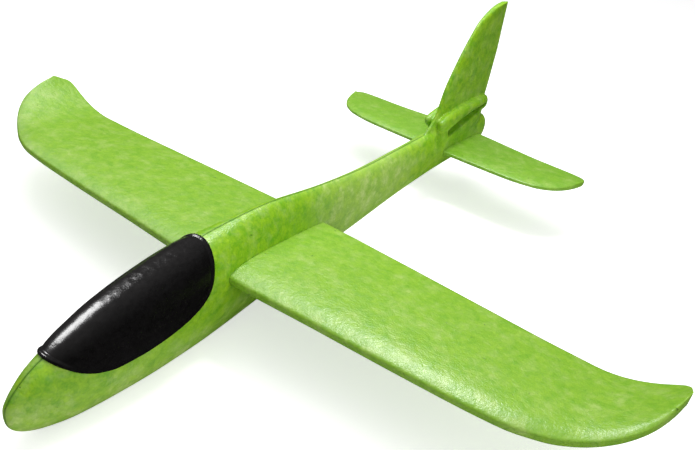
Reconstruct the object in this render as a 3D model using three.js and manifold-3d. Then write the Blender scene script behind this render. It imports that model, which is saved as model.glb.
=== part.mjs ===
// A hand-launched foam glider about 48 cm long and 48 cm across, standing on its belly.
// Two moulded fuselage halves carry the fin, the tail block and three cross slots. A one-piece wing
// and a one-piece tailplane push through two of the slots, the upper tail slot stays empty, a black
// canopy sits over the cockpit and a steel slug in the nose brings the balance point to the wing.
//
// Millimetres. The model is drawn with x = 0 at the wing root's leading edge, +X to the nose, +Y to
// the port wing tip and +Z up. The last lines move the origin to the middle of the underside.

import * as THREE from 'three';
import { mergeVertices } from 'three/addons/utils/BufferGeometryUtils.js';
import Module from 'manifold-3d';

const wasm = await Module();
wasm.setup();

// ---- driving dimensions -------------------------------------------------------------------------

const seamGap = 0.2; // between the two fuselage halves
const slotPlay = 0.3; // round the wing and the tailplane in their slots
const gluePlay = 0.3; // between the canopy and its seat, and round the slug
const bellyLevel = -41.6; // the flat that the glider rests on

// Fuselage sections from nose to tail: x, half width, top, bottom and the power of the upper half,
// where 2 is an ellipse and more is boxier.
const fuselageStations = [
  [122.8, 1.0, -19.6, -23.8, 2.3],
  [121.6, 3.4, -16.4, -29.6, 2.3],
  [117.0, 5.8, -10.6, -34.4, 2.3],
  [109.0, 8.6, -3.8, -38.2, 2.3],
  [96.0, 11.8, 2.8, -41.2, 2.3],
  [84.0, 13.8, 7.8, -42.2, 2.3],
  [70.0, 15.6, 12.8, -42.6, 2.3],
  [48.0, 17.4, 18.0, -42.6, 2.3],
  [24.0, 17.8, 22.4, -42.0, 2.3],
  [0.0, 17.2, 25.6, -40.8, 2.0],
  [-45.0, 13.2, 26.6, -38.0, 1.8],
  [-98.0, 8.4, 21.4, -32.8, 2.0],
  [-150.0, 8.2, 18.5, -26.2, 2.2],
  [-205.0, 7.8, 20.0, -19.6, 2.3],
  [-255.0, 8.4, 22.0, -15.2, 2.3],
  [-300.0, 9.2, 22.0, -13.4, 2.3],
  [-335.0, 9.0, 19.6, -11.4, 2.3],
  [-348.0, 7.0, 15.6, -7.4, 2.3],
  [-353.0, 3.6, 9.6, -1.6, 2.3],
  [-354.0, 1.2, 6.2, 1.8, 2.3],
];
const sectionPower = 2.3; // of the lower half

// Tail block under the upper slot: x, half width, height of its middle, half height.
const saddleStations = [
  [-245.0, 1.5, 14.0, 2.0],
  [-249.0, 5.4, 14.4, 7.0],
  [-257.0, 7.6, 15.0, 9.4],
  [-268.0, 8.8, 15.4, 9.8],
  [-290.0, 9.5, 17.0, 11.0],
  [-316.0, 9.2, 19.6, 11.0],
  [-327.0, 7.8, 21.4, 9.0],
  [-333.0, 5.2, 23.0, 6.5],
  [-335.0, 1.5, 24.0, 2.0],
];
const saddlePower = 2.7;

// Lobe on each side of the fin, over the upper slot: x, y, half width, height of its middle, half height.
const lobeStations = [
  [-249.4, 6.2, 0.6, 28.8, 0.8],
  [-250.6, 6.2, 2.2, 28.6, 2.8],
  [-253.8, 6.0, 3.6, 28.4, 4.8],
  [-263.0, 5.7, 4.3, 28.4, 7.4],
  [-280.0, 5.4, 4.8, 31.0, 6.9],
  [-303.0, 5.3, 4.9, 33.6, 5.2],
  [-322.0, 4.8, 4.9, 33.0, 5.6],
  [-334.0, 3.6, 4.6, 31.0, 6.8],
  [-341.0, 2.4, 3.2, 30.0, 5.2],
  [-344.4, 1.6, 0.6, 29.6, 1.0],
];
const lobePower = 2.1;

// Planforms run outboard from the centre line as [y, x], the fin's run upward as [z, x].
const wing = {
  leadingEdge: [[0, 0.8], [15, 0.8], [70, -2], [125, -4.6], [175, -8.8], [192, -14.4], [206.6, -22.6],
    [218, -30.6], [226, -38.2], [233.4, -49], [238.6, -63], [241.4, -76]],
  trailingEdge: [[0, -97.7], [15, -97.7], [70, -96.2], [125, -93.8], [175, -91.9], [232, -91.7],
    [236.8, -91.1], [239.6, -89.2], [241, -85.5], [241.4, -80]],
  above: 5.2,
  below: 5,
  tipThinning: 0.25,
  incidence: 0.055, // slope, leading edge up
  levelAt: -45, // x where the wing's plane is at z = 0
  flatHalfSpan: 195, // outboard of this the tip curves up
  tipRise: 17.8,
};

const tailplane = {
  leadingEdge: [[0, -263.6], [12, -263.8], [62, -264.9], [86.6, -269.5], [100, -278.6],
    [108.2, -291.2], [112.8, -305], [114.2, -312]],
  trailingEdge: [[0, -330.6], [12, -330.2], [35, -327.8], [70, -323.9], [100, -323], [108.6, -322],
    [112.6, -319.6], [114.2, -315.6]],
  above: 2.4,
  below: 2.9,
  tipThinning: 0.2,
  level: 2.9,
};

const fin = {
  leadingEdge: [[14, -228], [22, -239], [30, -248], [40, -253.2], [55, -257.6], [72, -266.4],
    [88, -277], [97, -284.2], [104.4, -291], [110, -301], [114.4, -312], [117, -325], [117.6, -331]],
  trailingEdge: [[14, -340], [30, -343.6], [72, -343.6], [98, -340.8], [117.6, -338.6]],
  halfThickness: 4.2,
  tipThinning: 0.45,
  ridgeBelow: 34, // up to here the fin's nose is a narrow ridge
  roundAbove: 52, // and from here on it is round
};

// Empty slot over the tailplane, from rear to front: its middle as [x, z], and half its height.
const upperSlot = {
  middle: [[-338, 30.2], [-325, 29.2], [-303, 27], [-280, 23], [-266, 19]],
  halfHeight: [[-338, 0], [-335, 1.8], [-322, 3.2], [-303, 4], [-284, 4.5], [-273, 4.1],
    [-268.4, 3], [-266.6, 1.6], [-266, 0]],
};

// Side view of the line where the canopy meets the fuselage, from its front corner to its rear top.
const canopyLine = [[103.6, -0.2], [98.6, -4.2], [91.4, -9.2], [83, -12.8], [74, -14.5], [62, -14.2],
  [48, -12], [34, -8.6], [24, -4.4], [17.4, 0.8], [13.2, 7.6], [10.6, 15], [8.8, 21.4], [7.6, 25.6]];
const canopyRise = 1.0; // how far it stands proud of the foam
const canopyDepth = 2.4; // how deep its seat is sunk

const slug = { x: 90, z: -20, radius: 5, length: 20 };

// ---- tools --------------------------------------------------------------------------------------

/** Value at x of the straight-line table [[x, y], ...], whose x rises all the way. */
function along(table, x) {
  const after = table.findIndex((row) => row[0] >= x);
  if (after <= 0) return after === 0 ? table[0][1] : table[table.length - 1][1];
  const [x0, y0] = table[after - 1];
  const [x1, y1] = table[after];
  return y0 + ((x - x0) / (x1 - x0)) * (y1 - y0);
}

/** Closed surface through equal rings of points, with a flat fan over the first and last ring. */
function skin(rings) {
  const count = rings[0].length;
  const last = (rings.length - 1) * count;
  const faces = [];
  for (let i = 0; i < last; i += count) {
    for (let j = 0; j < count; j += 1) {
      const next = (j + 1) % count;
      faces.push(i + j, i + next, i + count + next, i + j, i + count + next, i + count + j);
    }
  }
  for (let j = 1; j < count - 1; j += 1) {
    faces.push(0, j + 1, j);
    faces.push(last, last + j, last + j + 1);
  }
  const geometry = new THREE.BufferGeometry();
  geometry.setFromPoints(rings.flat());
  geometry.setIndex(faces);
  return geometry;
}

/** manifold-3d solid of a closed three.js geometry. */
function solid(geometry) {
  const bare = geometry.clone();
  bare.deleteAttribute('normal');
  bare.deleteAttribute('uv');
  const merged = mergeVertices(bare, 1e-4);
  const mesh = new wasm.Mesh({
    numProp: 3,
    vertProperties: new Float32Array(merged.attributes.position.array),
    triVerts: new Uint32Array(merged.index.array),
  });
  return new wasm.Manifold(mesh);
}

/** three.js geometry of a manifold-3d solid. */
function shell(body) {
  const mesh = body.getMesh();
  const geometry = new THREE.BufferGeometry();
  geometry.setAttribute('position', new THREE.BufferAttribute(mesh.vertProperties, 3));
  geometry.setIndex(new THREE.BufferAttribute(mesh.triVerts, 1));
  geometry.computeVertexNormals();
  return geometry;
}

/** Named mesh with its own plain material. */
function piece(name, geometry, color, roughness, metalness = 0) {
  const mesh = new THREE.Mesh(geometry, new THREE.MeshStandardMaterial({ color, roughness, metalness }));
  mesh.name = name;
  return mesh;
}

/** Side-view outline [x, z] pushed out to halfWidth on both sides. */
function sidePlate(outline, halfWidth) {
  const shape = new THREE.Shape(outline.map(([x, z]) => new THREE.Vector2(x, z)));
  const geometry = new THREE.ExtrudeGeometry(shape, { depth: 2 * halfWidth, bevelEnabled: false });
  geometry.translate(0, 0, -halfWidth);
  geometry.rotateX(Math.PI / 2);
  return solid(geometry);
}

/** Smooth curve through rows of numbers, returned as evenly stepped rows of the same columns. */
function smoothRows(rows, stepsPerRow) {
  const steps = (rows.length - 1) * stepsPerRow;
  const column = (index) => {
    const points = rows.map((row) => new THREE.Vector3(row[index], 0, 0));
    const curve = new THREE.CatmullRomCurve3(points, false, 'catmullrom', 0.5);
    return Array.from({ length: steps + 1 }, (_, i) => curve.getPoint(i / steps).x);
  };
  const columns = rows[0].map((_, index) => column(index));
  return columns[0].map((_, i) => columns.map((values) => values[i]));
}

// ---- fuselage -----------------------------------------------------------------------------------

const sectionPoints = 36;

/** Rounded section across the fuselage at x, with its own power above and below its middle. */
function crossSection(x, halfWidth, middle, halfHeight, upper, lower = upper) {
  return Array.from({ length: sectionPoints }, (_, i) => {
    const angle = (2 * Math.PI * i) / sectionPoints;
    const power = Math.cos(angle) > 0 ? upper : lower;
    const bulge = (value) => Math.sign(value) * Math.abs(value) ** (2 / power);
    const z = middle + halfHeight * bulge(Math.cos(angle));
    return new THREE.Vector3(x, halfWidth * bulge(Math.sin(angle)), Math.max(z, bellyLevel));
  });
}

/** The hull without fin and slots, its walls moved out by grow. */
function hull(grow = 0) {
  const rings = smoothRows(fuselageStations, 2).map(([x, halfWidth, top, bottom, upper]) => {
    const across = Math.max(halfWidth + grow, 0.3);
    const halfHeight = Math.max((top - bottom) / 2 + grow, 0.3);
    return crossSection(x, across, (top + bottom) / 2, halfHeight, upper, sectionPower);
  });
  return solid(skin(rings));
}

function saddle() {
  const rings = smoothRows(saddleStations, 2).map(([x, halfWidth, middle, half]) =>
    crossSection(x, halfWidth, middle, half, saddlePower));
  return solid(skin(rings));
}

/** Lobe on one side of the fin: side is +1 for port and -1 for starboard. */
function lobe(side) {
  const rings = smoothRows(lobeStations, 2).map(([x, y, halfWidth, middle, half]) => {
    const ring = crossSection(x, halfWidth, middle, half, lobePower);
    return ring.map((point) => point.setY(point.y + side * y));
  });
  return solid(skin(rings));
}

// ---- flying surfaces ----------------------------------------------------------------------------

// Thickness along the chord, as [share of the chord, share of the full thickness]. The nose of a
// flying surface is blunter below than above, the fin is the same on both sides, and ridgeSide is
// the narrow nose at the fin's foot.
const slimSide = [[0, 0], [0.004, 0.22], [0.012, 0.35], [0.03, 0.49], [0.06, 0.67], [0.09, 0.81],
  [0.14, 0.93], [0.25, 1], [0.42, 0.95], [0.65, 0.72], [1, 0.2]];
const bluntSide = [[0, 0], [0.006, 0.5], [0.02, 0.8], [0.05, 0.97], [0.12, 1], [0.35, 0.85],
  [0.65, 0.55], [0.85, 0.32], [1, 0.18]];
const ridgeSide = [[0, 0], [0.012, 0.3], [0.05, 0.42], [0.12, 0.62], [0.22, 0.85], [0.36, 1],
  [0.65, 0.8], [0.85, 0.42], [1, 0.2]];

/** Foil outline from the leading edge x0 over the top to the trailing edge x1 and back below. */
function foilOutline(x0, x1, above, below, back = slimSide, belly = bluntSide) {
  const upper = back.map(([share, rise]) => [x0 + share * (x1 - x0), rise * above]);
  const lower = belly.slice(1).map(([share, rise]) => [x0 + share * (x1 - x0), -rise * below]);
  return [...upper, ...lower.reverse()];
}

/** Spanwise stations: both edges' corners and a few between them, mirrored about the centre line. */
function spanStations(outboard) {
  const port = [...new Set(outboard)].sort((a, b) => a - b);
  return [...port.filter((y) => y > 0).map((y) => -y).reverse(), ...port];
}

function wingHeight(x, y) {
  const outboard = Math.max(Math.abs(y) - wing.flatHalfSpan, 0);
  const tipRun = wing.leadingEdge[wing.leadingEdge.length - 1][0] - wing.flatHalfSpan;
  return wing.incidence * (x - wing.levelAt) + wing.tipRise * (outboard / tipRun) ** 2;
}

/** Wing or tailplane: foil rings from tip to tip, lifted by height(x, y). */
function flyingSurface(shape, height) {
  const span = shape.leadingEdge[shape.leadingEdge.length - 1][0];
  const corners = [...shape.leadingEdge, ...shape.trailingEdge].map((row) => row[0]);
  corners.sort((a, b) => a - b);
  const middles = corners.slice(1).map((y, i) => (y + corners[i]) / 2).filter((y) => y > 0.7 * span);
  const rings = spanStations([...corners, ...middles]).map((y) => {
    const out = Math.abs(y);
    const thin = 1 - shape.tipThinning * (out / span) ** 2;
    const outline = foilOutline(along(shape.leadingEdge, out), along(shape.trailingEdge, out),
      shape.above * thin, shape.below * thin);
    return outline.map(([x, z]) => new THREE.Vector3(x, y, z + height(x, y)));
  });
  return solid(skin(rings.reverse()));
}

/** The straight slot that a surface's root section slides through. */
function rootSlot(shape, height, reach) {
  const outline = foilOutline(shape.leadingEdge[0][1] + slotPlay, shape.trailingEdge[0][1] - slotPlay,
    shape.above + slotPlay, shape.below + slotPlay);
  return sidePlate(outline.map(([x, z]) => [x, z + height(x, 0)]), reach);
}

function finBody() {
  const levels = fin.leadingEdge.map((row) => row[0]);
  const top = levels[levels.length - 1];
  const rings = levels.map((z) => {
    const half = fin.halfThickness * (1 - fin.tipThinning * (z / top) ** 2);
    const roundness = THREE.MathUtils.smoothstep(z, fin.ridgeBelow, fin.roundAbove);
    const blend = (share, rise) => rise + roundness * (along(slimSide, share) - rise);
    const side = ridgeSide.map(([share, rise]) => [share, blend(share, rise)]);
    const outline = foilOutline(along(fin.leadingEdge, z), along(fin.trailingEdge, z), half, half,
      side, side);
    return outline.map(([x, y]) => new THREE.Vector3(x, y, z));
  });
  return solid(skin(rings));
}

/** The empty slot over the tailplane, a low arch that rises to the rear. */
function upperSlotBody() {
  const levels = [...upperSlot.middle, ...upperSlot.halfHeight].map((row) => row[0]);
  const places = [...new Set(levels)].sort((a, b) => a - b);
  const edge = (x, side) => [x, along(upperSlot.middle, x) + side * along(upperSlot.halfHeight, x)];
  const roof = places.map((x) => edge(x, 1));
  const floor = places.slice(1, -1).map((x) => edge(x, -1));
  return sidePlate([...roof, ...floor.reverse()], 20);
}

// ---- canopy, slug and assembly ------------------------------------------------------------------

/** Everything above the canopy line, pulled in by inset, as a block across the fuselage. */
function canopyBlock(inset) {
  const line = canopyLine.map(([x, z], i) => {
    const [xa, za] = canopyLine[Math.max(i - 1, 0)];
    const [xb, zb] = canopyLine[Math.min(i + 1, canopyLine.length - 1)];
    const run = Math.hypot(xb - xa, zb - za);
    return [x + (inset * (zb - za)) / run, z - (inset * (xb - xa)) / run];
  });
  const front = [line[0][0] - inset, 60];
  const rear = [line[line.length - 1][0], 60];
  return sidePlate([...line, rear, front], 40);
}

function slugBody(grow) {
  const radius = slug.radius + grow;
  const geometry = new THREE.CylinderGeometry(radius, radius, slug.length + 2 * grow, 32);
  geometry.rotateZ(Math.PI / 2);
  geometry.translate(slug.x, 0, slug.z);
  return solid(geometry);
}

const tailplaneHeight = () => tailplane.level;
const seat = canopyBlock(0).subtract(hull(-canopyDepth - gluePlay));
const fuselage = hull()
  .add(saddle())
  .add(lobe(1))
  .add(lobe(-1))
  .add(finBody())
  .subtract(upperSlotBody())
  .subtract(rootSlot(wing, wingHeight, 40))
  .subtract(rootSlot(tailplane, tailplaneHeight, 40))
  .subtract(seat)
  .subtract(slugBody(gluePlay));

/** One side of the fuselage: +1 is port (left), -1 is starboard (right). */
function half(side) {
  const box = new THREE.BoxGeometry(600, 60, 300);
  box.translate(-100, side * (30 + seamGap / 2), 0);
  return shell(fuselage.intersect(solid(box)));
}

const canopyShell = hull(canopyRise).intersect(canopyBlock(gluePlay)).subtract(hull(-canopyDepth));

const lime = 0x8fcf3c;
const group = new THREE.Group();
group.add(
  piece('fuselage_left_half', half(1), lime, 0.6),
  piece('fuselage_right_half', half(-1), lime, 0.6),
  piece('canopy', shell(canopyShell), 0x101010, 0.35),
  piece('main_wing', shell(flyingSurface(wing, wingHeight)), lime, 0.6),
  piece('tailplane', shell(flyingSurface(tailplane, tailplaneHeight)), lime, 0.6),
  piece('nose_weight', shell(slugBody(0)), 0x8a8d90, 0.4, 1),
);

const noseX = fuselageStations[0][0];
const tailX = fuselageStations[fuselageStations.length - 1][0];
group.position.set(-(noseX + tailX) / 2, 0, -bellyLevel);

export default group;
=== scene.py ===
"""Looks for a lime foam throw glider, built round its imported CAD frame.

The foam pieces are lofted here finely, in millimetres, from the same few sections as the CAD part.
The left and right fuselage halves, the canopy, the wing and the tailplane replace their plain CAD
solids, and the steel nose weight is the CAD solid with a better material.
"""

import math

import bmesh
import bpy
import numpy as np
from mathutils import Matrix, Vector


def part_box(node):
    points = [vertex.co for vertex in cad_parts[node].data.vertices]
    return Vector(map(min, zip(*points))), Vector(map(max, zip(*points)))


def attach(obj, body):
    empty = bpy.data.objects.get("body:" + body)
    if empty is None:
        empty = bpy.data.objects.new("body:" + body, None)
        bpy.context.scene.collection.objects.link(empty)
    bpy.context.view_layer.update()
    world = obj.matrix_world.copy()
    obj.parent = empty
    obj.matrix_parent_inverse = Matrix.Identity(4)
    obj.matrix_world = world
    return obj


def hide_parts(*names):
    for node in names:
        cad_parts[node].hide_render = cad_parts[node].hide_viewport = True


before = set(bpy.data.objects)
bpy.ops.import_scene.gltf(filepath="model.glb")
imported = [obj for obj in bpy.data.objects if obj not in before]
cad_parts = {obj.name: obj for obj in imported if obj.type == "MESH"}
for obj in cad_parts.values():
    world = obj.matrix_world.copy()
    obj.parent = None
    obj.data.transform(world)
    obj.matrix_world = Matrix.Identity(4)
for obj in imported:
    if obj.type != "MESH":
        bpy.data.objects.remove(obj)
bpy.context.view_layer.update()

MM = 0.001

# ---- driving dimensions, in millimetres in the drawing frame ------------------------------------
# x = 0 is the wing root's leading edge, z = 0 the wing's plane.

NOSE_X = 122.8
BELLY_Z = -41.6
FUSELAGE_STATIONS = [  # x, half width, top, bottom, roundness of the upper half
    (122.8, 1.0, -19.6, -23.8, 2.3),
    (121.6, 3.4, -16.4, -29.6, 2.3),
    (117.0, 5.8, -10.6, -34.4, 2.3),
    (109.0, 8.6, -3.8, -38.2, 2.3),
    (96.0, 11.8, 2.8, -41.2, 2.3),
    (84.0, 13.8, 7.8, -42.2, 2.3),
    (70.0, 15.6, 12.8, -42.6, 2.3),
    (48.0, 17.4, 18.0, -42.6, 2.3),
    (24.0, 17.8, 22.4, -42.0, 2.3),
    (0.0, 17.2, 25.6, -40.8, 2.0),
    (-45.0, 13.2, 26.6, -38.0, 1.8),
    (-98.0, 8.4, 21.4, -32.8, 2.0),
    (-150.0, 8.2, 18.5, -26.2, 2.2),
    (-205.0, 7.8, 20.0, -19.6, 2.3),
    (-255.0, 8.4, 22.0, -15.2, 2.3),
    (-300.0, 9.2, 22.0, -13.4, 2.3),
    (-335.0, 9.0, 19.6, -11.4, 2.3),
    (-348.0, 7.0, 15.6, -7.4, 2.3),
    (-353.0, 3.6, 9.6, -1.6, 2.3),
    (-354.0, 1.2, 6.2, 1.8, 2.3),
]
SECTION_POWER = 2.3
SADDLE_STATIONS = [  # x, half width, height of the middle, half height: the block under the slot
    (-245.0, 1.5, 14.0, 2.0),
    (-249.0, 5.4, 14.4, 7.0),
    (-257.0, 7.6, 15.0, 9.4),
    (-268.0, 8.8, 15.4, 9.8),
    (-290.0, 9.5, 17.0, 11.0),
    (-316.0, 9.2, 19.6, 11.0),
    (-327.0, 7.8, 21.4, 9.0),
    (-333.0, 5.2, 23.0, 6.5),
    (-335.0, 1.5, 24.0, 2.0),
]
SADDLE_POWER = 2.7
POD_STATIONS = [  # x, y, half width, height of the middle, half height: one lobe each side
    (-249.4, 6.2, 0.6, 28.8, 0.8),
    (-250.6, 6.2, 2.2, 28.6, 2.8),
    (-253.8, 6.0, 3.6, 28.4, 4.8),
    (-263.0, 5.7, 4.3, 28.4, 7.4),
    (-280.0, 5.4, 4.8, 31.0, 6.9),
    (-303.0, 5.3, 4.9, 33.6, 5.2),
    (-322.0, 4.8, 4.9, 33.0, 5.6),
    (-334.0, 3.6, 4.6, 31.0, 6.8),
    (-341.0, 2.4, 3.2, 30.0, 5.2),
    (-344.4, 1.6, 0.6, 29.6, 1.0),
]
POD_POWER = 2.1

WING = {
    "leading_edge": [(0, 0.8), (15, 0.8), (70, -2), (125, -4.6), (175, -8.8), (192, -14.4),
                     (206.6, -22.6), (218, -30.6), (226, -38.2), (233.4, -49), (238.6, -63),
                     (241.4, -76)],
    "trailing_edge": [(0, -97.7), (15, -97.7), (70, -96.2), (125, -93.8), (175, -91.9),
                      (232, -91.7), (236.8, -91.1), (239.6, -89.2), (241, -85.5), (241.4, -80)],
    "above": 5.2,
    "below": 5.0,
    "tip_thinning": 0.25,
    "incidence": 0.055,
    "level_at": -45.0,
    "flat_half_span": 195.0,
    "tip_rise": 17.8,
    "stations": 181,
}
TAILPLANE = {
    "leading_edge": [(0, -263.6), (12, -263.8), (62, -264.9), (86.6, -269.5), (100, -278.6),
                     (108.2, -291.2), (112.8, -305), (114.2, -312)],
    "trailing_edge": [(0, -330.6), (12, -330.2), (35, -327.8), (70, -323.9), (100, -323),
                      (108.6, -322), (112.6, -319.6), (114.2, -315.6)],
    "above": 2.4,
    "below": 2.9,
    "tip_thinning": 0.2,
    "level": 2.9,
    "stations": 111,
}
FIN = {
    "leading_edge": [(14, -228), (22, -239), (30, -248), (40, -253.2), (55, -257.6), (72, -266.4),
                     (88, -277), (97, -284.2), (104.4, -291), (110, -301), (114.4, -312),
                     (117, -325), (117.6, -331)],
    "trailing_edge": [(14, -340), (30, -343.6), (72, -343.6), (98, -340.8), (117.6, -338.6)],
    "half_thickness": 4.2,
    "tip_thinning": 0.45,
    "least_half_thickness": 0.9,
    "ridge_below": 34,
    "foil_above": 52,
    "stations": 90,
}
RIDGE_SIDE = [(0, 0), (0.012, 0.3), (0.05, 0.42), (0.12, 0.62), (0.22, 0.85), (0.36, 1),
              (0.65, 0.8), (0.85, 0.42), (1, 0.2)]
SLOT_PLAY = 0.12
UPPER_SLOT_LINE = [(-266, 19.0), (-280, 23), (-303, 27.0), (-325, 29.2), (-338, 30.2)]
UPPER_SLOT_HALF_HEIGHT = [(-266, 0), (-266.6, 1.6), (-268.4, 3.0), (-273, 4.1), (-284, 4.5),
                          (-303, 4.0), (-322, 3.2), (-335, 1.8), (-338, 0)]
CANOPY_LINE = [(103.6, -0.2), (98.6, -4.2), (91.4, -9.2), (83, -12.8), (74, -14.5), (62, -14.2),
               (48, -12), (34, -8.6), (24, -4.4), (17.4, 0.8), (13.2, 7.6), (10.6, 15),
               (8.8, 21.4), (7.6, 25.6)]
SLUG = {"x": 90.0, "z": -20.0, "radius": 5.3, "length": 20.6}

# Share of the chord and share of the thickness: the upper side, and the blunter lower side.
SLIM_SIDE = [(0, 0), (0.004, 0.22), (0.012, 0.35), (0.03, 0.49), (0.06, 0.67), (0.09, 0.81),
             (0.14, 0.93), (0.25, 1), (0.42, 0.95), (0.65, 0.72), (1, 0.2)]
BLUNT_SIDE = [(0, 0), (0.006, 0.5), (0.02, 0.8), (0.05, 0.97), (0.12, 1), (0.35, 0.85),
              (0.65, 0.55), (0.85, 0.32), (1, 0.18)]
EDGE_REACH = 0.6  # how far a trailing edge bulges, as a share of half its thickness

# How finely the lofts are made.
HULL_STEPS = 8  # rings from one fuselage station to the next
TAIL_BLOCK_STEPS = 6  # the same for the saddle and the lobes
SECTION_STEPS = 96  # points round the fuselage
FOIL_STEPS = 44  # points along each side of a foil
EDGE_STEPS = 5  # points round a trailing edge
SLOT_STEPS = 60  # points along each side of the upper slot
SLUG_STEPS = 48
CANOPY_STEPS = (150, 120)  # lengthwise and across

# The blocks that cut the slots and the halves reach past the body on every side.
SLOT_REACH = 40
HALF_BLOCK = (400.0, 60.0, 200.0)
SIDE_ROOM = 100.0

# The tail's joins are filleted by smoothing the fine mesh.
VOXEL = 0.7
EVEN_ROUNDS = [0.5, -0.52] * 6  # inward and outward by turns, which keeps the volume
SOFT_STEP = 0.5  # of the further rounds in the regions below
ABOVE_TAILPLANE = (8, 12)  # all of them fade in over these heights
SOFT_REGIONS = [  # further rounds, where the region fades in along x, where along z
    (5, [(-222, -234)], (46, 36)),  # the whole tail under the fin
    (14, [(-318, -324)], (27, 23)),  # the saddle's rear end
    (8, [(-244, -247), (-272, -264)], (46, 38)),  # the lobes' noses
]

SEAM_HALF_GAP = 0.16  # each side of the centre plane, ahead of the fin
FIN_SEAM_HALF_GAP = 0.03
SEAM_FADE = (-244, -232)  # where along x the one becomes the other
SEAM_DEPTH = 1.5  # how fast the groove closes away from the centre plane
SEAM_DARK_REACH = 0.9  # how far the darkening reaches from the glue line

CANOPY_PROFILE = [  # distance from the edge, height over the foam: a bead, a valley, the crown
    (0, 0.0), (0.25, 0.75), (0.7, 1.2), (1.2, 1.35), (1.8, 1.2), (2.6, 0.75), (3.4, 0.85),
    (6, 1.1), (10, 1.25), (40, 1.3)]
CANOPY_SEAT = 2.2  # how deep it is sunk in the foam
CANOPY_HEART = (55.0, 0, -15.0)  # a point in the foam under the canopy
CANOPY_TIP_NORMAL = (0.5, 0, 0.87)  # where the canopy's rows shrink to a point

# Where the drawing frame's origin lies in the row frame.
fuselage_low, fuselage_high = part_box("fuselage_left_half")
ORIGIN = np.array([fuselage_high.x / MM - NOSE_X, 0.0, fuselage_low.z / MM - BELLY_Z])


# ---- curves and meshes --------------------------------------------------------------------------

def monotone(table):
    """Smooth function through rising (x, y) rows that never overshoots them."""
    rows = np.array(sorted(table), float)
    x, y = rows[:, 0], rows[:, 1]
    step = np.diff(x)
    slope = np.diff(y) / step
    tangent = np.zeros(len(x))
    tangent[0], tangent[-1] = slope[0], slope[-1]
    for i in range(1, len(x) - 1):
        if slope[i - 1] * slope[i] > 0:
            before = 2 * step[i] + step[i - 1]
            after = step[i] + 2 * step[i - 1]
            tangent[i] = (before + after) / (before / slope[i - 1] + after / slope[i])

    def value(at):
        at = np.clip(np.asarray(at, float), x[0], x[-1])
        i = np.clip(np.searchsorted(x, at) - 1, 0, len(x) - 2)
        t = (at - x[i]) / step[i]
        rest = 1 - t
        return (y[i] * (1 + 2 * t) * rest ** 2 + y[i + 1] * (3 - 2 * t) * t ** 2
                + step[i] * t * rest * (tangent[i] * rest - tangent[i + 1] * t))

    return value


def catmull_rows(rows, steps):
    """Evenly stepped rows of a Catmull-Rom curve through rows of numbers."""
    p = np.array(rows, float)
    p = np.vstack([2 * p[0] - p[1], p, 2 * p[-1] - p[-2]])
    out = []
    for i in range(1, len(p) - 2):
        for t in np.arange(steps) / steps:
            out.append(0.5 * (2 * p[i] + (p[i + 1] - p[i - 1]) * t
                              + (2 * p[i - 1] - 5 * p[i] + 4 * p[i + 1] - p[i + 2]) * t ** 2
                              + (3 * p[i] - p[i - 1] - 3 * p[i + 1] + p[i + 2]) * t ** 3))
    out.append(p[-2])
    return np.array(out)


def power(values, exponent):
    return np.sign(values) * np.abs(values) ** exponent


def loft(rings):
    """Vertices and faces of the closed skin through rings of equal length, capped with n-gons."""
    rings = np.asarray(rings, float)
    count, around = rings.shape[:2]
    faces = []
    for i in range(count - 1):
        for j in range(around):
            k = (j + 1) % around
            near, far = i * around, (i + 1) * around
            faces.append((near + j, near + k, far + k, far + j))
    faces.append(tuple(reversed(range(around))))
    faces.append(tuple((count - 1) * around + j for j in range(around)))
    return rings.reshape(-1, 3), faces


def make_object(name, points, faces):
    """Mesh object in the row frame from points in drawing millimetres."""
    mesh = bpy.data.meshes.new(name)
    mesh.from_pydata(((np.asarray(points) + ORIGIN) * MM).tolist(), [], faces)
    fixing = bmesh.new()
    fixing.from_mesh(mesh)
    bmesh.ops.remove_doubles(fixing, verts=fixing.verts, dist=1e-6)
    bmesh.ops.recalc_face_normals(fixing, faces=fixing.faces)
    fixing.to_mesh(mesh)
    fixing.free()
    obj = bpy.data.objects.new(name, mesh)
    bpy.context.scene.collection.objects.link(obj)
    return obj


def get_points(obj):
    """The object's vertices in drawing millimetres."""
    flat = np.empty(len(obj.data.vertices) * 3)
    obj.data.vertices.foreach_get("co", flat)
    return flat.reshape(-1, 3) / MM - ORIGIN


def set_points(obj, points):
    obj.data.vertices.foreach_set("co", ((points + ORIGIN) * MM).ravel())
    obj.data.update()


def apply_modifiers(obj):
    graph = bpy.context.evaluated_depsgraph_get()
    mesh = bpy.data.meshes.new_from_object(obj.evaluated_get(graph))
    obj.modifiers.clear()
    old = obj.data
    obj.data = mesh
    bpy.data.meshes.remove(old)


def combine(obj, other, operation):
    """Boolean of two closed objects, with the second one used up."""
    modifier = obj.modifiers.new("combine", "BOOLEAN")
    modifier.operation = operation
    modifier.solver = "MANIFOLD"
    modifier.object = other
    apply_modifiers(obj)
    bpy.data.objects.remove(other)


def remesh(obj, size):
    modifier = obj.modifiers.new("remesh", "REMESH")
    modifier.mode = "VOXEL"
    modifier.voxel_size = size * MM
    apply_modifiers(obj)


def relax(points, edges, rounds, weight):
    """Moves each point towards its neighbours' mean, by its own weight each round."""
    degree = np.bincount(edges.ravel(), minlength=len(points)).astype(float)[:, None]
    for factor in rounds:
        total = np.zeros_like(points)
        for axis in range(3):
            total[:, axis] += np.bincount(edges[:, 0], points[edges[:, 1], axis], len(points))
            total[:, axis] += np.bincount(edges[:, 1], points[edges[:, 0], axis], len(points))
        points = points + factor * weight * (total / degree - points)
    return points


def get_edges(obj):
    flat = np.empty(len(obj.data.edges) * 2, np.int64)
    obj.data.edges.foreach_get("vertices", flat)
    return flat.reshape(-1, 2)


def duplicate(obj, name):
    twin = obj.copy()
    twin.data = obj.data.copy()
    twin.name = name
    bpy.context.scene.collection.objects.link(twin)
    return twin


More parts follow.
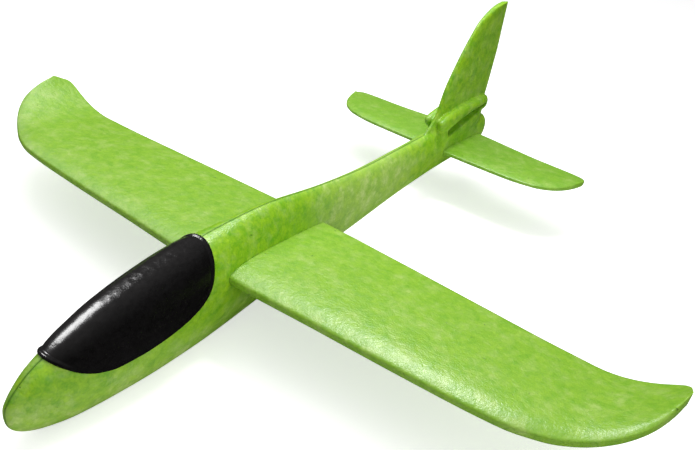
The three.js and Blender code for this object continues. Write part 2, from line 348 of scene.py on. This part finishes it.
def fade(values, start, end):
    """0 before start, 1 past end and straight in between; end may be the lower of the two."""
    return np.clip((values - start) / (end - start), 0, 1)


# ---- fuselage -----------------------------------------------------------------------------------

def cross_section(x, half_width, middle, half_height, upper, lower):
    """Ring of points, superelliptic above and below its middle, and flat at the belly's level."""
    angle = np.linspace(0, 2 * np.pi, SECTION_STEPS, endpoint=False)
    exponent = 2 / np.where(np.cos(angle) > 0, upper, lower)
    z = middle + half_height * power(np.cos(angle), exponent)
    y = half_width * power(np.sin(angle), exponent)
    return np.stack([np.full(SECTION_STEPS, x), y, np.maximum(z, BELLY_Z)], 1)


hull_rows = catmull_rows(FUSELAGE_STATIONS, HULL_STEPS)


def hull_object():
    rings = [cross_section(x, w, (top + bottom) / 2, (top - bottom) / 2, crest, SECTION_POWER)
             for x, w, top, bottom, crest in hull_rows]
    return make_object("hull", *loft(rings))


def saddle_object():
    rings = [cross_section(x, w, middle, half, SADDLE_POWER, SADDLE_POWER)
             for x, w, middle, half in catmull_rows(SADDLE_STATIONS, TAIL_BLOCK_STEPS)]
    return make_object("saddle", *loft(rings))


def pod_object(side):
    rings = [cross_section(x, w, middle, half, POD_POWER, POD_POWER) + [0, side * y, 0]
             for x, y, w, middle, half in catmull_rows(POD_STATIONS, TAIL_BLOCK_STEPS)]
    return make_object("pod", *loft(rings))


def foil_outline(x0, x1, above, below, top_side=SLIM_SIDE, belly=BLUNT_SIDE, least=0.0):
    """Outline of a foil from its leading edge over the top, round the trailing edge and back."""
    upper = monotone([(math.sqrt(share), rise) for share, rise in top_side])
    lower = monotone([(math.sqrt(share), rise) for share, rise in belly])
    even = np.linspace(0, 1, FOIL_STEPS)
    root = (even ** 1.1 + np.sin(even * np.pi / 2)) / 2  # closer together at both edges
    share = root ** 2
    floor = least * np.minimum(1, root * 6)
    top = np.maximum(upper(root) * above, floor)
    low = np.maximum(lower(root) * below, floor)
    x = x0 + share * (x1 - x0)
    turn = np.linspace(0, np.pi, EDGE_STEPS + 2)[1:-1]
    edge_radius = (top[-1] + low[-1]) / 2
    edge_x = x1 + np.sign(x1 - x0) * (np.sin(turn) - 1) * edge_radius * EDGE_REACH
    edge_z = (top[-1] - low[-1]) / 2 + edge_radius * np.cos(turn)
    inner = slice(1, FOIL_STEPS - 1)
    outline = [np.stack([x[:-1], top[:-1]], 1), np.stack([edge_x, edge_z], 1)]
    outline.append(np.stack([x[inner], -low[inner]], 1)[::-1])
    return np.vstack(outline)


def fin_object():
    """Fin from its foot in the hull, which is a low ridge, to its top, which is a foil."""
    leading = monotone(FIN["leading_edge"])
    trailing = monotone(FIN["trailing_edge"])
    bottom, top = FIN["leading_edge"][0][0], FIN["leading_edge"][-1][0]
    rings = []
    for z in np.linspace(bottom, top, FIN["stations"]):
        half = FIN["half_thickness"] * (1 - FIN["tip_thinning"] * (z / top) ** 2)
        foil_share = fade(z, FIN["ridge_below"], FIN["foil_above"])
        side = [(share, ridge + (np.interp(share, *np.transpose(SLIM_SIDE)) - ridge) * foil_share)
                for share, ridge in RIDGE_SIDE]
        outline = foil_outline(leading(z), trailing(z), half, half, side, side,
                               FIN["least_half_thickness"])
        rings.append(np.column_stack([outline[:, 0], outline[:, 1], np.full(len(outline), z)]))
    return make_object("fin", *loft(rings))


def side_plate(name, outline):
    """Side-view outline [x, z] pushed out through the body to both sides."""
    rings = [np.column_stack([outline[:, 0], np.full(len(outline), y), outline[:, 1]])
             for y in (-SLOT_REACH, SLOT_REACH)]
    return make_object(name, *loft(rings))


def wing_height(x, y):
    outboard = np.maximum(np.abs(y) - WING["flat_half_span"], 0)
    tip_run = WING["leading_edge"][-1][0] - WING["flat_half_span"]
    return WING["incidence"] * (x - WING["level_at"]) + WING["tip_rise"] * (outboard / tip_run) ** 2


def tailplane_height(x, y):
    return np.full_like(x, TAILPLANE["level"])


def root_slot(name, shape, height):
    outline = foil_outline(shape["leading_edge"][0][1] + SLOT_PLAY,
                           shape["trailing_edge"][0][1] - SLOT_PLAY,
                           shape["above"] + SLOT_PLAY, shape["below"] + SLOT_PLAY)
    outline[:, 1] += height(outline[:, 0], 0.0)
    return side_plate(name, outline)


def upper_slot():
    line = monotone(UPPER_SLOT_LINE)
    half = monotone(UPPER_SLOT_HALF_HEIGHT)
    front, rear = UPPER_SLOT_LINE[0][0], UPPER_SLOT_LINE[-1][0]
    x = (front + rear) / 2 + (front - rear) / 2 * np.cos(np.linspace(0, np.pi, SLOT_STEPS))
    upper = np.column_stack([x, line(x) + half(x)])
    lower = np.column_stack([x, line(x) - half(x)])
    return side_plate("upper_slot", np.vstack([upper, lower[-2:0:-1]]))


def fuselage_body():
    """Whole fuselage as one closed fine mesh with soft fillets and crisp root slots."""
    body = hull_object()
    for block in (saddle_object(), pod_object(1), pod_object(-1), fin_object()):
        combine(body, block, "UNION")
    combine(body, upper_slot(), "DIFFERENCE")
    remesh(body, VOXEL)
    points = get_points(body)
    edges = get_edges(body)
    points = relax(points, edges, EVEN_ROUNDS, np.ones((len(points), 1)))
    x, z = points[:, 0], points[:, 2]
    for rounds, along_x, along_z in SOFT_REGIONS:
        weight = fade(z, *ABOVE_TAILPLANE) * fade(z, *along_z)
        for limits in along_x:
            weight = weight * fade(x, *limits)
        points = relax(points, edges, [SOFT_STEP] * rounds, weight[:, None])
    lowest = [FUSELAGE_STATIONS[-1][0], -SIDE_ROOM, BELLY_Z]
    highest = [NOSE_X, SIDE_ROOM, FIN["leading_edge"][-1][0]]
    set_points(body, np.clip(points, lowest, highest))
    combine(body, root_slot("wing_slot", WING, wing_height), "DIFFERENCE")
    combine(body, root_slot("tail_slot", TAILPLANE, tailplane_height), "DIFFERENCE")
    return body


def fuselage_half(body, side, name):
    """One side of the body, drawn back a little from the seam."""
    half = duplicate(body, name)
    x, y, z = HALF_BLOCK
    corners = [(sx * x, side * sy * y, sz * z) for sx in (-1, 1) for sy in (0, 1) for sz in (-1, 1)]
    faces = [(0, 1, 3, 2), (4, 6, 7, 5), (0, 4, 5, 1), (2, 3, 7, 6), (0, 2, 6, 4), (1, 5, 7, 3)]
    combine(half, make_object("keep_side", corners, faces), "INTERSECT")
    points = get_points(half)
    ahead = fade(points[:, 0], *SEAM_FADE)
    gap = FIN_SEAM_HALF_GAP + (SEAM_HALF_GAP - FIN_SEAM_HALF_GAP) * ahead
    points[:, 1] += side * gap * np.exp(-np.abs(points[:, 1]) / SEAM_DEPTH)
    set_points(half, points)
    half.data.shade_smooth()
    return half


def slug_pocket():
    angle = np.linspace(0, 2 * np.pi, SLUG_STEPS, endpoint=False)
    rings = []
    for end in (-0.5, 0.5):
        x = np.full(SLUG_STEPS, SLUG["x"] + end * SLUG["length"])
        y = SLUG["radius"] * np.cos(angle)
        z = SLUG["z"] + SLUG["radius"] * np.sin(angle)
        rings.append(np.stack([x, y, z], 1))
    return make_object("slug_pocket", *loft(rings))


# ---- canopy -------------------------------------------------------------------------------------

def canopy_patch():
    """Grid of points on the hull over the canopy's line, rows from the rear to the nose."""
    rows = hull_rows[np.argsort(hull_rows[:, 0])]
    line = monotone(CANOPY_LINE)
    tries = np.linspace(CANOPY_LINE[-1][0], CANOPY_LINE[0][0], 4000)
    under = tries[line(tries) < np.interp(tries, rows[:, 0], rows[:, 2]) - 0.002]
    front, rear = under[-1], under[0]
    lengthwise, across = CANOPY_STEPS
    x = rear + (front - rear) * (0.5 - 0.5 * np.cos(np.linspace(0, np.pi, lengthwise)))
    width, top, bottom, crest = (np.interp(x, rows[:, 0], rows[:, k]) for k in (1, 2, 3, 4))
    middle, half = (top + bottom) / 2, (top - bottom) / 2
    level = np.clip((line(x) - middle) / half, -1, 1)
    round_power = np.where(level > 0, crest, SECTION_POWER)
    edge_angle = np.arccos(power(level, round_power / 2))
    angle = edge_angle[:, None] * np.linspace(-1, 1, across)[None, :]
    exponent = 2 / np.where(np.cos(angle) > 0, crest[:, None], SECTION_POWER)
    grid = np.empty((lengthwise, across, 3))
    grid[..., 0] = x[:, None]
    grid[..., 1] = width[:, None] * power(np.sin(angle), exponent)
    grid[..., 2] = middle[:, None] + half[:, None] * power(np.cos(angle), exponent)
    return grid


def outward(grid):
    """Unit normals of the grid that point away from the foam under it."""
    normal = np.cross(np.gradient(grid, axis=1), np.gradient(grid, axis=0))
    length = np.linalg.norm(normal, axis=2, keepdims=True)
    least = 1e-6
    normal = np.where(length > least, normal / np.maximum(length, least), CANOPY_TIP_NORMAL)
    return normal * np.sign((normal * (grid - CANOPY_HEART)).sum(2, keepdims=True))


def rim_distance(grid):
    """Each grid point's distance from the nearest point of the two long edges."""
    rim = np.concatenate([grid[:, 0], grid[:, -1]])
    distance = np.empty(grid.shape[:2])
    for i, row in enumerate(grid):
        gap = row[:, None, :] - rim[None, :, :]
        distance[i] = np.sqrt((gap ** 2).sum(2)).min(1)
    return distance


def shell_faces(lengthwise, across):
    """Faces of a closed shell between two grids: outer and inner ones, then the walls round it."""
    count = lengthwise * across
    faces = []
    for i in range(lengthwise - 1):
        for j in range(across - 1):
            a = i * across + j
            faces.append((a, a + 1, a + across + 1, a + across))
            faces.append((count + a, count + a + across, count + a + across + 1, count + a + 1))
    for i in range(lengthwise - 1):
        for a in (i * across, i * across + across - 1):
            faces.append((a, a + across, count + a + across, count + a))
    for i in (0, lengthwise - 1):
        for a in range(i * across, i * across + across - 1):
            faces.append((a, a + 1, count + a + 1, count + a))
    return faces


def canopy_object():
    grid = canopy_patch()
    normal = outward(grid)
    outer = grid + normal * monotone(CANOPY_PROFILE)(rim_distance(grid))[..., None]
    inner = grid - normal * CANOPY_SEAT
    points = np.vstack([outer.reshape(-1, 3), inner.reshape(-1, 3)])
    return make_object("canopy_cover", points, shell_faces(*CANOPY_STEPS))


# ---- flying surfaces ----------------------------------------------------------------------------

def flying_surface(name, shape, height):
    """Wing or tailplane lofted from tip to tip."""
    leading = monotone(shape["leading_edge"])
    trailing = monotone(shape["trailing_edge"])
    span = shape["leading_edge"][-1][0]
    rings = []
    for y in span * np.sin(np.linspace(-np.pi / 2, np.pi / 2, shape["stations"])):
        out = abs(y)
        thin = 1 - shape["tip_thinning"] * (out / span) ** 2
        outline = foil_outline(leading(out), trailing(out), shape["above"] * thin,
                               shape["below"] * thin)
        z = outline[:, 1] + height(outline[:, 0], y)
        rings.append(np.column_stack([outline[:, 0], np.full(len(outline), y), z]))
    obj = make_object(name, *loft(rings))
    obj.data.shade_smooth()
    return obj


# ---- materials ----------------------------------------------------------------------------------
# Scales are in cells per metre, and places in metres in the row frame.

FOAMS = {
    "lime_foam_body": {"pale": (0.50, 0.68, 0.19), "green": (0.36, 0.63, 0.014),
                       "deep": (0.12, 0.40, 0.002), "mottling": 1.0, "roughness": 0.36},
    "lime_foam_wing": {"pale": (0.39, 0.585, 0.12), "green": (0.30, 0.545, 0.036),
                       "deep": (0.14, 0.39, 0.006), "mottling": 0.8, "roughness": 0.34},
    # The tailplane's foam is the wing's foam painted darker: painted shade for the weaker light
    # that reaches the tail.
    "lime_foam_tailplane_shaded": {"pale": (0.38, 0.58, 0.12), "green": (0.26, 0.51, 0.032),
                            "deep": (0.13, 0.38, 0.006), "mottling": 0.7, "roughness": 0.33},
}
BEADS = 300.0
BEAD_WARP = 0.003
SKIN_DEPTH = 0.0006  # how deep the bump on the foam can look
FOAM_GLOSS = 0.75
CANOPY_GLOSS = 0.15
CANOPY_DARK = (0.0035, 0.0032, 0.0032)
CANOPY_LIGHT = (0.0085, 0.0078, 0.008)
CANOPY_NOSE = (0.19, 0.165)  # ahead of these places on x the canopy's bump is weaker
CANOPY_NOSE_BUMP = 0.3
STEEL_DARK = (0.35, 0.35, 0.36)
STEEL_LIGHT = (0.55, 0.55, 0.56)
# Zones of the body that get a painted whitish reflection of the floor: the boom, and the nose's
# flanks low down.
SHEEN_BOOM = ((-0.12, -0.07), (0.045, 0.005))  # fades along x at its rear and at its front
SHEEN_FLANK = ((0.06, 0.1), (0.03, 0.008))  # a fade along x, and one downwards along z
SEAM_DARK_FADE = (-0.13, -0.118)  # the darkening along the glue line fades in ahead of the fin


class Nodes:
    """Short helper for building the node tree of a material or of the world."""

    def __init__(self, owner):
        owner.use_nodes = True
        self.tree = owner.node_tree
        self.tree.nodes.clear()

    def add(self, kind, inputs=(), **settings):
        node = self.tree.nodes.new(kind)
        for key, value in settings.items():
            setattr(node, key, value)
        for key, value in dict(inputs).items():
            if isinstance(value, bpy.types.NodeSocket):
                self.tree.links.new(value, node.inputs[key])
            else:
                node.inputs[key].default_value = value
        return node

    def math(self, operation, a, b=0.0, clamp=False):
        node = self.add("ShaderNodeMath", {0: a, 1: b}, operation=operation, use_clamp=clamp)
        return node.outputs[0]

    def weighted(self, *parts):
        """Sum of values, each times its weight."""
        terms = [self.math("MULTIPLY", value, weight) for value, weight in parts]
        total = terms[0]
        for term in terms[1:]:
            total = self.math("ADD", total, term)
        return total

    def stretch(self, value, low, high, to_low=0.0, to_high=1.0):
        """to_low up to low, to_high past high and straight in between; high may be the lower."""
        node = self.add("ShaderNodeMapRange", {"Value": value, "From Min": low, "From Max": high,
                                               "To Min": to_low, "To Max": to_high})
        return node.outputs[0]

    def noise(self, place, scale, detail=2.0, rough=0.5, offset=None):
        if offset is not None:
            place = self.add("ShaderNodeMapping", {"Vector": place, "Location": offset}).outputs[0]
        return self.add("ShaderNodeTexNoise", {"Vector": place, "Scale": scale, "Detail": detail,
                                               "Roughness": rough})

    def ramp(self, factor, stops):
        node = self.add("ShaderNodeValToRGB", {"Fac": factor})
        for element, (position, color) in zip(node.color_ramp.elements, stops, strict=True):
            element.position = position
            element.color = (*color, 1)
        return node.outputs["Color"]

    def mix(self, factor, a, b):
        ends = {6 + i: end if isinstance(end, bpy.types.NodeSocket) else (*end, 1)
                for i, end in enumerate((a, b))}
        return self.add("ShaderNodeMix", {0: factor, **ends}, data_type="RGBA").outputs[2]

    def object_place(self):
        return self.add("ShaderNodeTexCoord").outputs["Object"]

    def axes(self, vector):
        return self.add("ShaderNodeSeparateXYZ", {0: vector}).outputs

    def bumped_shader(self, color, roughness, height, strength, depth):
        """Principled shader with a bump, joined to the material's output."""
        bump = self.add("ShaderNodeBump", {"Height": height, "Strength": strength,
                                           "Distance": depth})
        shader = self.add("ShaderNodeBsdfPrincipled", {"Base Color": color, "Roughness": roughness,
                                                       "Normal": bump.outputs["Normal"]})
        self.add("ShaderNodeOutputMaterial", {0: shader.outputs[0]})
        return shader


def darker(color, share):
    return tuple(channel * share for channel in color)


def haze_and_floor_sheen(n, axes, haze):
    """Random haze, plus a painted reflection of the floor: strong on the boom and low on the flanks
    of the nose, and weak elsewhere.
    """
    rear, front = SHEEN_BOOM
    boom = n.math("MULTIPLY", n.stretch(axes["X"], *rear), n.stretch(axes["X"], *front))
    ahead, low = SHEEN_FLANK
    flank = n.math("MULTIPLY", n.stretch(axes["X"], *ahead), n.stretch(axes["Z"], *low))
    where = n.math("MAXIMUM", boom, flank)
    haze = n.math("MULTIPLY", haze, n.math("ADD", n.math("MULTIPLY", where, 0.55), 0.45))
    # The painted reflection of the floor is added on top of the haze here.
    return n.math("ADD", haze, n.math("MULTIPLY", where, 0.3))


def seam_darkening(n, axes):
    """How much darker the foam is next to the glue line."""
    aside = n.math("DIVIDE", n.math("ABSOLUTE", axes["Y"]), SEAM_DARK_REACH * MM)
    tone_mask = n.math("SUBTRACT", 1.0, aside, clamp=True)
    return n.math("MULTIPLY", n.math("POWER", tone_mask, 0.7), n.stretch(axes["X"], *SEAM_DARK_FADE))


def foam_material(name, is_body=False):
    """Moulded bead foam: beads a few millimetres across, a thin glossy skin, specks and scuffs, and
    on the body a painted reflection of the floor on the boom and the nose's lower flanks.
    """
    foam = FOAMS[name]
    material = bpy.data.materials.new(name)
    n = Nodes(material)
    place = n.object_place()
    wander = n.noise(place, BEADS).outputs["Color"]
    beads_at = n.add("ShaderNodeVectorMath", {0: wander, 1: (BEAD_WARP,) * 3, 2: place},
                     operation="MULTIPLY_ADD").outputs[0]
    beads = n.add("ShaderNodeTexVoronoi", {"Vector": beads_at, "Scale": BEADS})
    edges = n.add("ShaderNodeTexVoronoi", {"Vector": beads_at, "Scale": BEADS},
                  feature="DISTANCE_TO_EDGE")
    tone = n.add("ShaderNodeSeparateColor", {"Color": beads.outputs["Color"]})
    blotch = n.noise(place, 165.0, 4.0, 0.68).outputs["Fac"]
    patches = n.noise(place, 90.0, 4.0, 0.66, (3.0, 1.0, 0.0)).outputs["Fac"]
    fine = n.noise(place, 800.0, 3.0, 0.6).outputs["Fac"]
    scattered = n.noise(place, 230.0, 2.0, 0.75, (0.0, 5.0, 2.0)).outputs["Fac"]
    speck = n.stretch(scattered, 0.735, 0.775)

    depth = n.weighted((n.stretch(blotch, 0.36, 0.66), 0.62), (tone.outputs[0], 0.30),
                       (n.stretch(fine, 0.3, 0.7), 0.26))
    depth = n.math("SUBTRACT", depth, 0.1, clamp=True)
    haze = n.math("MULTIPLY", n.stretch(patches, 0.46, 0.72),
                  n.math("ADD", 0.35, tone.outputs[1]))
    if is_body:
        axes = n.axes(place)
        # The body's haze also carries a painted reflection of the floor.
        haze = haze_and_floor_sheen(n, axes, haze)
    groove = n.math("MULTIPLY", edges.outputs["Distance"], 9.0)
    groove = n.math("SUBTRACT", 1.0, groove, clamp=True)
    color = n.mix(n.math("MULTIPLY", depth, foam["mottling"]), foam["green"], foam["deep"])
    # The pale tint shows the random haze and, on the body, the painted reflection of the floor.
    color = n.mix(n.math("MULTIPLY", haze, foam["mottling"], clamp=True), color, foam["pale"])
    color = n.mix(n.math("MULTIPLY", groove, 0.10), color, darker(foam["deep"], 0.5))
    color = n.mix(n.math("MULTIPLY", speck, 0.75), color, darker(foam["deep"], 0.25))
    if is_body:
        tone_mask = seam_darkening(n, axes)
        color = n.mix(n.math("MULTIPLY", tone_mask, 0.7), color, darker(foam["deep"], 0.5))

    roughness = n.math("ADD", foam["roughness"] - 0.1, n.math("MULTIPLY", blotch, 0.2))
    height = n.weighted((beads.outputs["Distance"], -0.35), (blotch, 1.2), (fine, 0.5),
                        (speck, -0.8))
    shader = n.bumped_shader(color, roughness, height, 0.6, SKIN_DEPTH)
    shader.inputs["Specular IOR Level"].default_value = FOAM_GLOSS
    return material


def canopy_material():
    """Black moulded foam with a glossier skin, its beads showing in the highlights."""
    material = bpy.data.materials.new("black_canopy")
    n = Nodes(material)
    place = n.object_place()
    beads = n.add("ShaderNodeTexVoronoi", {"Vector": place, "Scale": BEADS}, feature="SMOOTH_F1")
    grain = n.noise(place, 330.0, 4.0, 0.65).outputs["Fac"]
    broad = n.noise(place, 45.0).outputs["Fac"]
    color = n.ramp(grain, [(0.3, CANOPY_DARK), (0.8, CANOPY_LIGHT)])
    roughness = n.math("ADD", 0.14, n.math("MULTIPLY", broad, 0.16))
    height = n.weighted((beads.outputs["Distance"], 0.9), (grain, 0.9))
    height = n.math("MULTIPLY", height, n.stretch(n.axes(place)["X"], *CANOPY_NOSE,
                                                CANOPY_NOSE_BUMP))
    shader = n.bumped_shader(color, roughness, height, 0.5, SKIN_DEPTH)
    shader.inputs["Specular IOR Level"].default_value = CANOPY_GLOSS
    return material


def steel_material():
    """Turned steel bar: fine rings round the axis."""
    material = bpy.data.materials.new("bare_steel")
    n = Nodes(material)
    place = n.object_place()
    rings = n.add("ShaderNodeTexWave", {"Vector": place, "Scale": 900.0, "Distortion": 0.4},
                  wave_type="BANDS", bands_direction="X").outputs["Fac"]
    tone_mask = n.noise(place, 200.0).outputs["Fac"]
    color = n.ramp(tone_mask, [(0.3, STEEL_DARK), (0.7, STEEL_LIGHT)])
    roughness = n.math("ADD", 0.3, n.math("MULTIPLY", rings, 0.12))
    shader = n.bumped_shader(color, roughness, rings, 0.2, 0.0001)
    shader.inputs["Metallic"].default_value = 1.0
    return material


# ---- the pieces ---------------------------------------------------------------------------------

def place_piece(obj, material, body_name, node):
    obj.data.materials.clear()
    obj.data.materials.append(material)
    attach(obj, body_name)
    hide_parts(node)


body_foam = foam_material("lime_foam_body", is_body=True)
wing_foam = foam_material("lime_foam_wing")
# A darker copy of the wing foam: painted shade on the tailplane.
shaded_tail_foam = foam_material("lime_foam_tailplane_shaded")
black = canopy_material()
steel = steel_material()

canopy = canopy_object()
body = fuselage_body()
combine(body, duplicate(canopy, "canopy_seat"), "DIFFERENCE")
combine(body, slug_pocket(), "DIFFERENCE")
left = fuselage_half(body, 1, "fuselage_left_shell")
right = fuselage_half(body, -1, "fuselage_right_shell")
bpy.data.objects.remove(body)
canopy.data.shade_smooth()
wing = flying_surface("main_wing_foam", WING, wing_height)
tailplane = flying_surface("tailplane_foam", TAILPLANE, tailplane_height)

place_piece(left, body_foam, "fuselage", "fuselage_left_half")
place_piece(right, body_foam, "fuselage", "fuselage_right_half")
place_piece(canopy, black, "fuselage", "canopy")
place_piece(wing, wing_foam, "wing", "main_wing")
place_piece(tailplane, shaded_tail_foam, "tail", "tailplane")
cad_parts["nose_weight"].material_slots[0].material = steel


# ---- camera, light and floor --------------------------------------------------------------------

CAMERA = {
    "azimuth": 119.44,
    "elevation": 29.46,
    "roll": 10.95,
    "place": (247.1, 221.0, 227.9),  # drawing millimetres
    "lens": 36.9,
    "sensor": 36.0,
    "clip": (0.01, 50),
}
# Metres in the row frame. "canopy" says how the lamp is linked: "INCLUDE" lights the canopy alone,
# "EXCLUDE" lights all but the canopy, and None lights everything.
LAMPS = [
    {"name": "overhead", "place": (-0.25, -0.3, 1.05), "target": (0.0, 0.0, 0.03),
     "size": (0.9, 0.9), "watts": 6.2, "canopy": "EXCLUDE", "in_reflections": True},
    {"name": "key", "place": (-0.12, 0.0, 0.58), "target": (0.0, 0.0, 0.03),
     "size": (0.13, 0.13), "watts": 1.4, "canopy": "EXCLUDE", "in_reflections": True},
    {"name": "canopy_lamp", "place": (0.3, -0.85, 1.0), "target": (0.17, 0.0, 0.05),
     "size": (0.48, 0.48), "watts": 44.0, "canopy": "INCLUDE", "in_reflections": True},
    {"name": "side", "place": (0.15, -1.0, 0.8), "target": (0.1, 0.0, 0.03),
     "size": (0.7, 0.7), "watts": 2.0, "canopy": "EXCLUDE", "in_reflections": True},
    {"name": "fill", "place": (0.35, 1.3, 0.45), "target": (0.0, 0.0, 0.05),
     "size": (1.2, 0.8), "watts": 6.0, "canopy": None, "in_reflections": False},
]
FLOOR = {
    "half_size": 6.0,
    "paper": (0.82, 0.86),  # darkest and lightest grey, for the camera
    "lift": 0.6,  # glow that only the camera sees
    "bounce": 0.97,  # grey near the object for the light it throws back up
    "beyond": 0.22,  # the same farther out
    "change": (0.25, 0.55),  # distances between which the one becomes the other
    "reflected": 0.06,  # grey in reflections
}
DOME = {"zenith": 0.7, "horizon": 0.04, "power": 2.0}


def add_camera():
    azimuth, elevation, roll = (math.radians(CAMERA[k]) for k in ("azimuth", "elevation", "roll"))
    level_reach = math.cos(elevation)
    back = Vector((math.sin(azimuth) * level_reach, -math.cos(azimuth) * level_reach,
                   math.sin(elevation)))
    level_right = (-back).cross(Vector((0, 0, 1))).normalized()
    level_up = level_right.cross(-back)
    right_axis = level_right * math.cos(roll) + level_up * math.sin(roll)
    up_axis = level_up * math.cos(roll) - level_right * math.sin(roll)
    turn = Matrix((right_axis, up_axis, back)).transposed().to_4x4()
    data = bpy.data.cameras.new("camera")
    data.sensor_fit = "HORIZONTAL"
    data.sensor_width = CAMERA["sensor"]
    data.lens = CAMERA["lens"]
    data.clip_start, data.clip_end = CAMERA["clip"]
    obj = bpy.data.objects.new("camera", data)
    place = Vector(((np.array(CAMERA["place"]) + ORIGIN) * MM).tolist())
    obj.matrix_world = Matrix.Translation(place) @ turn
    bpy.context.scene.collection.objects.link(obj)
    bpy.context.scene.camera = obj


def add_lamp(row):
    data = bpy.data.lights.new(row["name"], "AREA")
    data.shape = "RECTANGLE"
    data.size, data.size_y = row["size"]
    data.energy = row["watts"]
    lamp = bpy.data.objects.new(row["name"], data)
    lamp.location = row["place"]
    aim = Vector(row["target"]) - Vector(row["place"])
    lamp.rotation_mode = "QUATERNION"
    lamp.rotation_quaternion = aim.to_track_quat("-Z", "Y")
    lamp.visible_glossy = row["in_reflections"]
    bpy.context.scene.collection.objects.link(lamp)
    if row["canopy"]:
        receivers = bpy.data.collections.new(row["name"] + "_receivers")
        receivers.objects.link(canopy)
        receivers.collection_objects[0].light_linking.link_state = row["canopy"]
        lamp.light_linking.receiver_collection = receivers


def grey(level):
    return (level, level, level)


def add_floor():
    """Pale floor that is brighter for the camera than for the light it throws on the object."""
    material = bpy.data.materials.new("pale_floor")
    n = Nodes(material)
    grain = n.add("ShaderNodeTexNoise", {"Scale": 40.0}).outputs["Fac"]
    darkest, lightest = FLOOR["paper"]
    paper = n.ramp(grain, [(0.0, grey(darkest)), (1.0, grey(lightest))])
    seen = n.add("ShaderNodeBsdfDiffuse", {"Color": paper})
    glow = n.add("ShaderNodeEmission", {"Strength": FLOOR["lift"]})
    both = n.add("ShaderNodeAddShader", {0: seen.outputs[0], 1: glow.outputs[0]})
    place = n.add("ShaderNodeNewGeometry").outputs["Position"]
    away = n.add("ShaderNodeVectorMath", {0: place}, operation="LENGTH").outputs["Value"]
    near, far = FLOOR["change"]
    sheet = n.ramp(away, [(near, grey(FLOOR["bounce"])), (far, grey(FLOOR["beyond"]))])
    rays = n.add("ShaderNodeLightPath")
    sheet = n.mix(rays.outputs["Is Glossy Ray"], sheet, grey(FLOOR["reflected"]))
    bounced = n.add("ShaderNodeBsdfDiffuse", {"Color": sheet})
    chosen = n.add("ShaderNodeMixShader", {0: rays.outputs["Is Camera Ray"], 1: bounced.outputs[0],
                                           2: both.outputs[0]})
    n.add("ShaderNodeOutputMaterial", {0: chosen.outputs[0]})

    half = FLOOR["half_size"]
    mesh = bpy.data.meshes.new("floor")
    corners = [(-half, -half, 0), (half, -half, 0), (half, half, 0), (-half, half, 0)]
    mesh.from_pydata(corners, [], [(0, 1, 2, 3)])
    mesh.materials.append(material)
    floor = bpy.data.objects.new("floor", mesh)
    bpy.context.scene.collection.objects.link(floor)


def add_world():
    """Dome of light, bright overhead and nearly dark at the horizon, but white to the camera."""
    world = bpy.data.worlds.new("studio")
    n = Nodes(world)
    direction = n.add("ShaderNodeTexCoord").outputs["Generated"]
    rise = n.math("POWER", n.math("MAXIMUM", n.axes(direction)["Z"], 0.0), DOME["power"])
    level = n.add("ShaderNodeMath", {0: rise, 1: DOME["zenith"], 2: DOME["horizon"]},
                  operation="MULTIPLY_ADD").outputs[0]
    rays = n.add("ShaderNodeLightPath")
    level = n.math("MAXIMUM", level, rays.outputs["Is Camera Ray"])
    light = n.add("ShaderNodeBackground", {"Color": (1, 1, 1, 1), "Strength": level})
    n.add("ShaderNodeOutputWorld", {0: light.outputs[0]})
    bpy.context.scene.world = world


add_camera()
add_world()
add_floor()
for lamp_row in LAMPS:
    add_lamp(lamp_row)
bpy.context.scene.view_settings.view_transform = "Standard"
bpy.context.scene.view_settings.look = "None"
